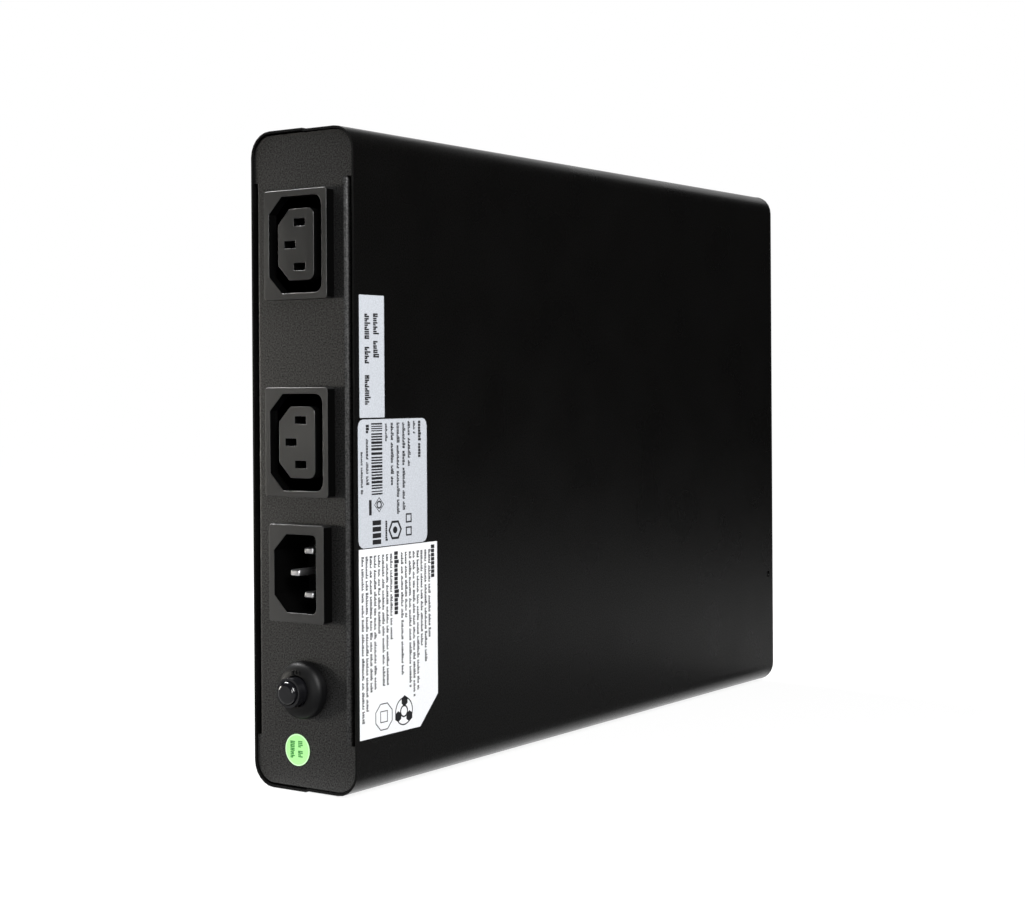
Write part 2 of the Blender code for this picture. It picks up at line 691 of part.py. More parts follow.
def make_heatsink(parts, mats):
    """An extruded sink: a flat back for the transistors and fins on the other side."""
    back_y = 58.0 * MM
    base = 3.0 * MM
    fin = 1.2 * MM
    fins = 5
    height = 24.0 * MM
    pitch = (height - fin) / (fins - 1)
    reach = 9.0 * MM
    low = BOARD_TOP + GAP
    outline = [(low, back_y), (low + height, back_y)]
    for i in reversed(range(fins)):
        start = low + i * pitch
        outline += [(start + fin, back_y + base + reach), (start, back_y + base + reach)]
        if i:
            outline += [(start, back_y + base), (start - pitch + fin, back_y + base)]
    prism("heatsink", outline, "Z", 100.0 * MM, 180.0 * MM, parts, mats["aluminium"])
    for i in range(4):
        z = (112.0 + 18.5 * i) * MM
        package = box(f"power_transistor_{i + 1}", (low + 4.0 * MM, back_y - GAP - 4.5 * MM, z - 5.0 * MM),
                      (low + 19.0 * MM, back_y - GAP, z + 5.0 * MM), parts, mats["moulding"])
        round_edges(package, 0.4 * MM, 1)


def make_board_parts(parts, cutters, mats):
    make_transformer(parts, cutters, mats)
    make_heatsink(parts, mats)
    for i, z in enumerate((132.0 * MM, 160.0 * MM)):
        foot = (BOARD_TOP + GAP, 22.0 * MM, z)
        can = cylinder(f"bus_capacitor_{i + 1}", foot, "X", 11.0 * MM, 28.0 * MM, parts, mats["sleeve"])
        round_edges(can, 0.8 * MM)
    minor = 5.3 * MM
    centre = (BOARD_TOP + 2 * GAP + minor, 76.0 * MM, 40.0 * MM)
    choke = ring("filter_choke", centre, 11.0 * MM, minor, parts, mats["copper"])
    choke.rotation_euler = (0, math.pi / 2, 0)
    on_board("transfer_relay", 74.0 * MM, 78.0 * MM, (16.0 * MM, 13.0 * MM, 29.0 * MM), parts, mats["relay"])
    end = (BOARD_TOP + 3.0 * MM, 50.0 * MM, 24.0 * MM)
    fuse = cylinder("board_fuse", end, "Z", 2.6 * MM, 20.0 * MM, parts, mats["ceramic"], sides=20)
    round_edges(fuse, 0.3 * MM, 1)


def ring(name, centre, major, minor, group, mat):
    """A torus about its own Z axis, as a turned circle."""
    steps = 12
    mesh = bpy.data.meshes.new(name)
    angles = [-2 * math.pi * i / steps for i in range(steps)]
    points = [(major + minor * math.cos(a), 0, minor * math.sin(a)) for a in angles]
    mesh.from_pydata(points, [(i, (i + 1) % steps) for i in range(steps)], [])
    obj = place(name, mesh, group, mat)
    obj.location = centre
    spin(obj, 28)
    return obj


# ---------------------------------------------------------------- battery

def cell_columns():
    return (PACK_Y - CELL_PITCH / 2, PACK_Y + CELL_PITCH / 2)


def make_battery(parts, cutters, mats):
    rise = HOLDER - POCKET + GAP
    lower = PACK_BASE + rise
    middle = lower + CELL_LENGTH + GAP - POCKET
    upper = middle + 2 * HOLDER - POCKET + GAP
    top = upper + CELL_LENGTH + GAP - POCKET
    holders = [
        ("cell_holder_lower", PACK_BASE, PACK_BASE + HOLDER, (PACK_BASE + HOLDER - POCKET,)),
        ("cell_holder_middle", middle, middle + 2 * HOLDER, (middle - MM, middle + 2 * HOLDER - POCKET)),
        ("cell_holder_upper", top, top + HOLDER, (top - MM,)),
    ]
    outline = rectangle((0, PACK_Y), (2 * CELL_RADIUS + 3.0 * MM, CELL_PITCH + 2 * CELL_RADIUS + 3.0 * MM),
                        6.0 * MM, 4)
    for name, low, high, pockets in holders:
        holder = prism(name, outline, "Z", low, high, parts, mats["holder"])
        for i, pocket in enumerate(pockets):
            for j, y in enumerate(cell_columns()):
                cut(holder, cylinder(f"{name}_pocket_{i}{j}", (0, y, pocket), "Z", CELL_RADIUS + GAP,
                                     POCKET + MM, cutters, sides=36))
    for i, (z, y) in enumerate([(z, y) for z in (lower, upper) for y in cell_columns()]):
        foot = (0, y, z)
        cell = cylinder(f"cell_{i + 1}", foot, "Z", CELL_RADIUS, CELL_LENGTH, parts, mats["cell"], sides=36)
        round_edges(cell, 0.8 * MM)
    edge = PACK_Y + CELL_PITCH / 2 + CELL_RADIUS + 2.2 * MM
    box("protection_board", (-14.0 * MM, edge, 108.0 * MM), (14.0 * MM, edge + BOARD, 168.0 * MM), parts,
        mats["board"])
    make_battery_bracket(parts, mats["steel"])


def make_battery_bracket(parts, steel):
    """A strap of sheet steel over the cells, with a foot on the case at each end."""
    foot = 8.0 * MM
    side = CELL_PITCH / 2 + CELL_RADIUS + 1.2 * MM
    sheet = 1.0 * MM
    low = -INNER_X + GAP
    high = CELL_RADIUS + 1.9 * MM
    near, far = PACK_Y + side, PACK_Y - side
    outline = rounded_outline([
        (low, far - foot, 0), (low, far, 0.4 * MM, 2),
        (high - sheet, far, 0.6 * MM, 2), (high - sheet, near, 0.6 * MM, 2),
        (low, near, 0.4 * MM, 2), (low, near + foot, 0),
        (low + sheet, near + foot, 0), (low + sheet, near + sheet, 0.6 * MM, 2),
        (high, near + sheet, 1.4 * MM, 3), (high, far - sheet, 1.4 * MM, 3),
        (low + sheet, far - sheet, 0.6 * MM, 2), (low + sheet, far - foot, 0),
    ])
    prism("battery_bracket", outline, "Z", 56.0 * MM, 76.0 * MM, parts, steel)


# ---------------------------------------------------------------- leads

def smooth_path(knots, steps=6):
    """A Catmull-Rom line through knots."""
    knots = [Vector(k) for k in knots]
    ends = [knots[0] * 2 - knots[1]] + knots + [knots[-1] * 2 - knots[-2]]
    points = []
    for a, b, c, d in zip(ends, ends[1:], ends[2:], ends[3:]):
        for i in range(steps):
            t = i / steps
            points.append(0.5 * (2 * b + (c - a) * t + (2 * a - 5 * b + 4 * c - d) * t ** 2
                                 + (3 * b - a - 3 * c + d) * t ** 3))
    return points + [knots[-1]]


def onto_board(y, z):
    """The last two knots of a lead that meets the main board square on."""
    return [(BOARD_TOP + 6.0 * MM, y, z), (BOARD_TOP + GAP, y, z)]


def make_leads(parts, mats):
    radius = 1.3 * MM
    back = PANEL_BACK - INLET_DEPTH - 8.0 * MM - radius - GAP
    places = {label: (x, z) for label, x, z in contact_places(INLET_Z)}
    breaker_back = PANEL_BACK - BREAKER_DEPTH - 9.0 * MM - 2 * GAP
    line_x, line_z = places["line"]
    neutral_x, neutral_z = places["neutral"]
    earth_x, earth_z = places["earth"]
    pack_edge = PACK_Y + CELL_PITCH / 2 + CELL_RADIUS + 6.0 * MM
    routes = {
        "lead_line": [(line_x, back, line_z), (8 * MM, back - 5 * MM, line_z + 4 * MM),
                      (14 * MM, back - 9 * MM, INLET_Z - 12 * MM),
                      (0, breaker_back - 5 * MM, BREAKER_Z + 8.0 * MM),
                      (0, breaker_back - 0.4 * MM, BREAKER_Z + 8.0 * MM)],
        "lead_neutral": [(neutral_x, back, neutral_z), (-6 * MM, back - 6 * MM, neutral_z + 2 * MM),
                         *onto_board(BOARD_HIGH_Y - 5 * MM, 60 * MM)],
        "lead_earth": [(earth_x, back, earth_z), (0, back - 7 * MM, earth_z + 2 * MM),
                       *onto_board(BOARD_HIGH_Y - 5 * MM, 76 * MM)],
        "lead_battery_positive": [(-9 * MM, pack_edge, 150 * MM), (-5 * MM, -24 * MM, 156 * MM),
                                  *onto_board(BOARD_LOW_Y + 5 * MM, 150 * MM)],
        "lead_battery_negative": [(-9 * MM, pack_edge, 130 * MM), (-5 * MM, -24 * MM, 136 * MM),
                                  *onto_board(BOARD_LOW_Y + 5 * MM, 130 * MM)],
    }
    finishes = {"lead_line": "brown_wire", "lead_neutral": "blue_wire", "lead_earth": "green_wire",
                "lead_battery_positive": "red_wire", "lead_battery_negative": "black_wire"}
    for name, knots in routes.items():
        wire(name, smooth_path(knots), radius, parts, mats[finishes[name]])


# ---------------------------------------------------------------- whole

def make_materials():
    return {
        "paint": make_material("powder_coat", (0.012, 0.012, 0.013), 0.45),
        "moulding": make_material("black_moulding", (0.018, 0.018, 0.019), 0.4),
        "steel": make_material("zinc_steel", (0.5, 0.5, 0.52), 0.35, 1.0),
        "brass": make_material("brass", (0.7, 0.52, 0.25), 0.3, 1.0),
        "silver": make_material("plated_pin", (0.75, 0.75, 0.77), 0.2, 1.0),
        "aluminium": make_material("aluminium", (0.7, 0.7, 0.72), 0.35, 1.0),
        "copper": make_material("wound_copper", (0.6, 0.28, 0.13), 0.3, 1.0),
        "ferrite": make_material("ferrite", (0.03, 0.03, 0.03), 0.6),
        "tape": make_material("winding_tape", (0.75, 0.55, 0.12), 0.4),
        "board": make_material("circuit_board", (0.02, 0.12, 0.05), 0.45),
        "sleeve": make_material("capacitor_sleeve", (0.03, 0.03, 0.06), 0.35),
        "relay": make_material("relay_case", (0.05, 0.1, 0.2), 0.4),
        "ceramic": make_material("ceramic_tube", (0.85, 0.83, 0.78), 0.4),
        "holder": make_material("cell_holder", (0.03, 0.03, 0.03), 0.6),
        "cell": make_material("cell_wrap", (0.04, 0.2, 0.45), 0.4),
        "lens": make_material("light_pipe", (0.8, 0.9, 0.8), 0.15),
        "silver_label": make_material("silver_label", (0.55, 0.58, 0.62), 0.35),
        "white_label": make_material("white_label", (0.8, 0.8, 0.8), 0.4),
        "green_label": make_material("green_label", (0.45, 0.75, 0.4), 0.5),
        "brown_wire": make_material("brown_wire", (0.16, 0.06, 0.02), 0.5),
        "blue_wire": make_material("blue_wire", (0.02, 0.09, 0.4), 0.5),
        "green_wire": make_material("green_wire", (0.1, 0.45, 0.05), 0.5),
        "red_wire": make_material("red_wire", (0.5, 0.02, 0.02), 0.5),
        "black_wire": make_material("black_wire", (0.02, 0.02, 0.02), 0.5),
    }


def build():
    clear_scene()
    parts = new_collection("slim_power_supply")
    cutters = new_collection("cutters")
    mats = make_materials()
    make_covers(parts, cutters, mats["paint"])
    make_screws(parts, cutters, mats["steel"])
    make_rear_panel(parts, cutters, mats["paint"])
    make_outlet("outlet_upper", OUTLET_UPPER_Z, parts, cutters, mats["moulding"], mats["brass"])
    make_outlet("outlet_lower", OUTLET_LOWER_Z, parts, cutters, mats["moulding"], mats["brass"])
    make_inlet(parts, cutters, mats["moulding"], mats["silver"])
    make_breaker(parts, cutters, mats)
    make_front(parts, cutters, mats)
    make_labels(parts, mats)
    make_board(parts, mats)
    make_board_parts(parts, cutters, mats)
    make_battery(parts, cutters, mats)
    make_leads(parts, mats)


build()
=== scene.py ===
import json
import math
import random

import bmesh
import bpy
from mathutils import Matrix, Vector


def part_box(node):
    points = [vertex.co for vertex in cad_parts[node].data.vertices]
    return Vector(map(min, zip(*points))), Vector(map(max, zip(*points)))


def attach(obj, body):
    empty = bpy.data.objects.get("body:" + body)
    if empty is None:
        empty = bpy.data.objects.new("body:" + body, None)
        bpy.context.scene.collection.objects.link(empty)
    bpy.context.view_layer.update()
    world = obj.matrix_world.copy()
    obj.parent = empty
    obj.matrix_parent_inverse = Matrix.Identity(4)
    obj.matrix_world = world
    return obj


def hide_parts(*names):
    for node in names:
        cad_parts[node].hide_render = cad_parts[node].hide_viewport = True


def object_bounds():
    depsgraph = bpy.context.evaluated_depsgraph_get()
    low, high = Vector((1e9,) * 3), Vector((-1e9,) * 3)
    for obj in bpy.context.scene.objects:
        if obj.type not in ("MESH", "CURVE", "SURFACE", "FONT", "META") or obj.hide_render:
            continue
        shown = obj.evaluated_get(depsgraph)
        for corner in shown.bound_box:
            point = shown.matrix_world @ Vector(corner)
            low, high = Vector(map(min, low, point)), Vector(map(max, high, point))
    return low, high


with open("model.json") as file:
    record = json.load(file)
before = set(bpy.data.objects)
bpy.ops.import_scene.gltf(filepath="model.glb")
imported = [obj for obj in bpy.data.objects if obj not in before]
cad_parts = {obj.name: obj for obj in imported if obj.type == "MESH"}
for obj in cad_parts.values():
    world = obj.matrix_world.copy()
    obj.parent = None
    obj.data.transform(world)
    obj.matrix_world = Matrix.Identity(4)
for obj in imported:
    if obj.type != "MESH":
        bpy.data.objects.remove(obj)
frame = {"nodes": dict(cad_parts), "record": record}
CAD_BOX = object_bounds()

MM = 0.001
NODES = frame["nodes"]
BODY_OF = {node: body for body, group in frame["record"]["behaviour"]["bodies"].items() for node in group}
SLOT_OF = {part["node"]: part["material_slot"] for part in frame["record"]["subparts"]}

# edge rounding
COVER_ROUNDING = 0.18 * MM
SOCKET_ROUNDING = 0.4 * MM
PIN_ROUNDING = 0.1 * MM
SCREW_ROUNDING = 0.15 * MM
LABEL_ROUNDING = 0.03 * MM
ROUNDING_STEPS = 3
ROUNDED_CORNER = math.radians(30)
SHARP_EDGE = math.radians(40)
FLAT_ENOUGH = math.radians(0.6)
WELD = 0.002 * MM

# nodes whose finish isn't the one that their slot is named for
OWN_FINISH = {"rear_panel": "panel_paint", "breaker_nut": "nut_moulding"}

# finishes
GLOSS_PATCH = 25.0 * MM
PEBBLE = 0.55 * MM
SPECK = 0.5 * MM
WAVE_PERIOD = 0.314

# printing on the labels; the strokes are shares of a sign's pitch or width
INK_DEPTH = 0.02 * MM
INK_SINK = 0.005 * MM
BASE_SEED = 11
STROKE = 0.37
STROKE_SHIFT = 0.24
BOLD_STROKE = 0.86
LINK_STROKE = 0.3
LINK_WIDTH = 0.26
LINK_CHANCE = 0.6
WORD_GAP = 0.8
LINE_PITCH = 0.62

# camera
CAMERA_PLACE = Vector((-0.39217, 0.58223, 0.12769))
CAMERA_AZIMUTH = math.radians(215.11)
CAMERA_ELEVATION = math.radians(0.20)
CAMERA_ROLL = math.radians(-0.35)
CAMERA_LENS = 65.18
CAMERA_SHIFT = -0.0592

# floor
FLOOR_SIZE = 120.0
FLOOR_GAP = 0.2 * MM
FLOOR_GLOW = 0.88
FLOOR_SHADES = (0.15, 0.04)
FLOOR_NEAR = 0.45
FLOOR_FAR = 0.8
FOOT_GLOW = 1.0
FOOT_FADE = 9.0 * MM

# light: name, place, size, power and colour of each softbox
ROOM_LIGHT = 0.015
WHITE = (1.0, 1.0, 1.0)
WARM = (1.0, 0.96, 0.88)
SOFTBOXES = [
    ("top_box", (0.75, 0.05, 1.05), (0.6, 0.6), 46.0, WHITE),
    ("rear_box", (1.11, 0.59, 0.02), (0.35, 0.35), 8.5, WARM),
    ("side_box", (-1.0, 0.75, 0.75), (0.6, 0.6), 30.0, WHITE),
    ("strip", (-0.15, 1.5, 0.05), (0.12, 0.6), 7.5, WHITE),
    ("backdrop", (0.7, -1.3, 0.6), (1.6, 1.15), 4.2, WHITE),
]


# ---------------------------------------------------------------- node helpers

def add_node(tree, kind, **settings):
    node = tree.nodes.new(kind)
    for key, value in settings.items():
        setattr(node, key, value)
    return node


def object_space(tree, stretch=(1.0, 1.0, 1.0)):
    """Object coordinates in metres, stretched for grain that runs one way."""
    place = add_node(tree, "ShaderNodeTexCoord")
    mapping = add_node(tree, "ShaderNodeMapping")
    mapping.inputs["Scale"].default_value = stretch
    tree.links.new(place.outputs["Object"], mapping.inputs["Vector"])
    return mapping.outputs["Vector"]


def noise(tree, vector, grain, detail=2.0):
    """Noise from 0 to 1 whose features are about grain metres across."""
    node = add_node(tree, "ShaderNodeTexNoise")
    node.inputs["Scale"].default_value = 1.0 / grain
    node.inputs["Detail"].default_value = detail
    tree.links.new(vector, node.inputs["Vector"])
    return node.outputs["Fac"]


def spread(tree, value, low, high, start=0.3, end=0.7):
    """Maps value from start..end to low..high."""
    node = add_node(tree, "ShaderNodeMapRange")
    node.inputs["From Min"].default_value = start
    node.inputs["From Max"].default_value = end
    node.inputs["To Min"].default_value = low
    node.inputs["To Max"].default_value = high
    tree.links.new(value, node.inputs["Value"])
    return node.outputs["Result"]


def blend_colours(tree, factor, first, second):
    node = add_node(tree, "ShaderNodeMix", data_type="RGBA")
    node.inputs["A"].default_value = (*first, 1.0)
    node.inputs["B"].default_value = (*second, 1.0)
    tree.links.new(factor, node.inputs["Factor"])
    return node.outputs["Result"]


def relief(tree, height, depth):
    node = add_node(tree, "ShaderNodeBump")
    node.inputs["Distance"].default_value = depth
    tree.links.new(height, node.inputs["Height"])
    return node.outputs["Normal"]


def scaled(colour, factor):
    return tuple(min(1.0, c * factor) for c in colour)


# ---------------------------------------------------------------- materials

def surface(name, colour, roughness, metallic=0.0, grain=0.4 * MM, depth=0.01 * MM, mottle=0.1,
            gloss_spread=0.06, stretch=(1.0, 1.0, 1.0), specular=0.5):
    """A finish whose colour and relief vary with a fine grain and whose gloss varies over the part."""
    mat = bpy.data.materials.new(name)
    mat.use_nodes = True
    tree = mat.node_tree
    shader = tree.nodes["Principled BSDF"]
    vector = object_space(tree, stretch)
    fine = noise(tree, vector, grain, 3.0)
    broad = noise(tree, vector, GLOSS_PATCH)
    share = spread(tree, fine, 0.0, 1.0)
    colours = blend_colours(tree, share, scaled(colour, 1 - mottle), scaled(colour, 1 + mottle))
    tree.links.new(colours, shader.inputs["Base Color"])
    gloss = spread(tree, broad, roughness - gloss_spread, roughness + gloss_spread)
    tree.links.new(gloss, shader.inputs["Roughness"])
    tree.links.new(relief(tree, fine, depth), shader.inputs["Normal"])
    shader.inputs["Metallic"].default_value = metallic
    shader.inputs["Specular IOR Level"].default_value = specular
    return mat


def powder_coat(name, roughness, depth, sparkle):
    """Black powder coat: a fine pebbled relief, with a shine that varies in fine specks."""
    colour = (0.0021, 0.0020, 0.0019)
    mat = surface(name, colour, roughness, gloss_spread=0.03)
    tree = mat.node_tree
    shader = tree.nodes["Principled BSDF"]
    vector = object_space(tree)
    pebbles = add_node(tree, "ShaderNodeTexVoronoi", feature="SMOOTH_F1")
    pebbles.inputs["Scale"].default_value = 1.0 / PEBBLE
    tree.links.new(vector, pebbles.inputs["Vector"])
    speck = noise(tree, vector, SPECK, 4.0)
    shine = spread(tree, speck, 0.5 - sparkle, 0.5 + sparkle, 0.35, 0.65)
    tree.links.new(shine, shader.inputs["Specular IOR Level"])
    tree.links.new(relief(tree, pebbles.outputs["Distance"], depth), shader.inputs["Normal"])
    return mat


def winding(name, colour, metallic, axis, pitch):
    """Turns of wire or tape side by side along an axis; WAVE_PERIOD is a wave's length at a scale of 1."""
    mat = surface(name, colour, 0.32, metallic=metallic, grain=0.8 * MM)
    tree = mat.node_tree
    turns = add_node(tree, "ShaderNodeTexWave", wave_type="BANDS", bands_direction=axis)
    turns.inputs["Scale"].default_value = WAVE_PERIOD / pitch
    turns.inputs["Distortion"].default_value = 0.4
    tree.links.new(object_space(tree), turns.inputs["Vector"])
    normal = relief(tree, turns.outputs["Fac"], 0.2 * MM)
    tree.links.new(normal, tree.nodes["Principled BSDF"].inputs["Normal"])
    return mat


def circuit_board():
    """Green solder mask with paler copper areas under it."""
    mask = (0.012, 0.085, 0.03)
    mat = surface("circuit_board", mask, 0.3, grain=0.6 * MM, depth=0.005 * MM)
    tree = mat.node_tree
    shader = tree.nodes["Principled BSDF"]
    tracks = add_node(tree, "ShaderNodeTexBrick")
    tracks.inputs["Scale"].default_value = 60.0
    tracks.inputs["Mortar Size"].default_value = 0.035
    tracks.inputs["Color1"].default_value = (*mask, 1.0)
    tracks.inputs["Color2"].default_value = (*scaled(mask, 1.15), 1.0)
    tracks.inputs["Mortar"].default_value = (*scaled(mask, 2.2), 1.0)
    flat = add_node(tree, "ShaderNodeMapping")
    flat.inputs["Rotation"].default_value = (0.0, math.pi / 2, 0.0)
    tree.links.new(object_space(tree), flat.inputs["Vector"])
    tree.links.new(flat.outputs["Vector"], tracks.inputs["Vector"])
    tree.links.new(tracks.outputs["Color"], shader.inputs["Base Color"])
    return mat


def make_finishes():
    """One material for each of the record's slots."""
    plain = {
        "moulding": dict(colour=(0.0055, 0.0055, 0.0055), roughness=0.38, grain=0.35 * MM, mottle=0.3,
                         depth=0.012 * MM, specular=0.8),
        "glossy_moulding": dict(colour=(0.005, 0.005, 0.006), roughness=0.16, depth=0.002 * MM),
        "steel": dict(colour=(0.55, 0.55, 0.57), roughness=0.32, metallic=1.0, stretch=(1, 0.05, 1)),
        "brass": dict(colour=(0.72, 0.54, 0.27), roughness=0.3, metallic=1.0),
        "silver": dict(colour=(0.7, 0.7, 0.71), roughness=0.4, metallic=1.0, mottle=0.03,
                       depth=0.001 * MM),
        "aluminium": dict(colour=(0.7, 0.7, 0.72), roughness=0.38, metallic=1.0, stretch=(1, 1, 0.03)),
        "ferrite": dict(colour=(0.035, 0.035, 0.037), roughness=0.62, mottle=0.3),
        "sleeve": dict(colour=(0.02, 0.02, 0.05), roughness=0.3, mottle=0.08),
        "relay": dict(colour=(0.04, 0.08, 0.18), roughness=0.3),
        "ceramic": dict(colour=(0.8, 0.78, 0.72), roughness=0.35),
        "holder": dict(colour=(0.03, 0.03, 0.03), roughness=0.55, mottle=0.2),
        "cell": dict(colour=(0.03, 0.16, 0.4), roughness=0.28, grain=2.0 * MM, depth=0.03 * MM),
        "lens": dict(colour=(0.75, 0.82, 0.77), roughness=0.15),
        "silver_label": dict(colour=(0.525, 0.55, 0.59), roughness=0.45, grain=0.45 * MM, mottle=0.12,
                             depth=0.004 * MM),
        "white_label": dict(colour=(0.86, 0.87, 0.89), roughness=0.45, grain=0.6 * MM, mottle=0.03,
                            depth=0.003 * MM),
        "green_label": dict(colour=(0.36, 0.80, 0.28), roughness=0.5, grain=0.6 * MM, mottle=0.06),
        "brown_wire": dict(colour=(0.16, 0.06, 0.025), roughness=0.5),
        "blue_wire": dict(colour=(0.02, 0.09, 0.4), roughness=0.5),
        "green_wire": dict(colour=(0.1, 0.42, 0.06), roughness=0.5),
        "red_wire": dict(colour=(0.5, 0.02, 0.02), roughness=0.5),
        "black_wire": dict(colour=(0.02, 0.02, 0.02), roughness=0.5),
    }
    finishes = {slot: surface(slot, **values) for slot, values in plain.items()}
    finishes["paint"] = powder_coat("paint", 0.29, 0.014 * MM, 0.15)
    finishes["panel_paint"] = powder_coat("panel_paint", 0.45, 0.018 * MM, 0.3)
    finishes["copper"] = winding("copper", (0.6, 0.25, 0.1), 1.0, "Y", 0.9 * MM)
    finishes["tape"] = winding("tape", (0.75, 0.5, 0.08), 0.0, "Y", 4.0 * MM)
    finishes["board"] = circuit_board()
    finishes["ink"] = surface("black_ink", (0.012, 0.012, 0.014), 0.5, mottle=0.3)
    finishes["green_ink"] = surface("green_ink", (0.045, 0.24, 0.045), 0.5, mottle=0.2)
    finishes["white_rim"] = surface("white_rim", (0.6, 0.85, 0.55), 0.5, mottle=0.03)
    # painted shade: near-black, barely shiny finish for the covers' rear rims
    finishes["cover_rim_painted_shade"] = surface("cover_rim_painted_shade", (0.001, 0.001, 0.001), 0.7, specular=0.1)
    # painted shade: near-black matt finish for the sockets' flanks and the walls and floors inside them
    finishes["socket_painted_shade"] = surface("socket_painted_shade", (0.0008, 0.0008, 0.0008), 0.7, specular=0.03)
    finishes["nut_moulding"] = surface("nut_moulding", (0.002, 0.002, 0.0022), 0.5, specular=0.18)
    return finishes


# ---------------------------------------------------------------- pieces

def show(name, mesh, material, body):
    """Puts a finished mesh in the scene and lets it ride on a CAD body."""
    mesh.materials.clear()
    mesh.materials.append(material)
    piece = bpy.data.objects.new(name, mesh)
    bpy.context.scene.collection.objects.link(piece)
    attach(piece, body)
    return piece


def weigh_normals(piece):
    normals = piece.modifiers.new("normals", "WEIGHTED_NORMAL")
    normals.weight = 100
    normals.keep_sharp = True


def finished(node, rounding, finishes):
    """A copy of a CAD node with its edges rounded, which stands for the node."""
    shape = bmesh.new()
    shape.from_mesh(NODES[node].data)
    bmesh.ops.remove_doubles(shape, verts=shape.verts, dist=WELD)
    bmesh.ops.dissolve_limit(shape, angle_limit=FLAT_ENOUGH, verts=shape.verts, edges=shape.edges)
    edges = [e for e in shape.edges if e.is_manifold and e.calc_face_angle(0.0) > ROUNDED_CORNER]
    bmesh.ops.bevel(shape, geom=edges, offset=rounding, segments=ROUNDING_STEPS, affect="EDGES", profile=0.5,
                    clamp_overlap=True)
    for face in shape.faces:
        face.smooth = True
    for edge in shape.edges:
        edge.smooth = edge.calc_face_angle(0.0) < SHARP_EDGE
    mesh = bpy.data.meshes.new(node + "_finished")
    shape.to_mesh(mesh)
    shape.free()
    slot = SLOT_OF[node]
    finish = finishes[OWN_FINISH.get(node, slot)]
    piece = show(node + "_finished", mesh, finish, BODY_OF[node])
    weigh_normals(piece)
    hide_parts(node)
    return piece


def finish_shown_nodes(finishes):
    """The nodes that can be seen from outside, each with its edge rounding."""
    roundings = {
        "left_cover": COVER_ROUNDING,
        "right_cover": COVER_ROUNDING,
        "rear_panel": 0.4 * MM,
        "outlet_upper": SOCKET_ROUNDING,
        "outlet_lower": SOCKET_ROUNDING,
        "inlet": 0.5 * MM,
        "breaker_nut": 0.3 * MM,
        "breaker_body": 0.35 * MM,
        "reset_button": 0.45 * MM,
        "front_bezel": 0.6 * MM,
        "power_button": 0.3 * MM,
        "light_pipe": 0.2 * MM,
    }
    roundings.update({f"inlet_pin_{use}": PIN_ROUNDING for use in ("line", "neutral", "earth")})
    roundings.update({f"cover_screw_{i}": SCREW_ROUNDING for i in (1, 2, 3, 4)})
    roundings.update({f"label_{use}": LABEL_ROUNDING for use in ("battery", "rating", "caution")})
    roundings["inspection_sticker"] = LABEL_ROUNDING
    return {node: finished(node, rounding, finishes) for node, rounding in roundings.items()}


def finish_hidden_nodes(finishes, done):
    """Nodes inside the case keep their CAD shape and take a worked material."""
    for name, node in NODES.items():
        if name not in done:
            node.data.materials.clear()
            node.data.materials.append(finishes[SLOT_OF[name]])


# ---------------------------------------------------------------- printing

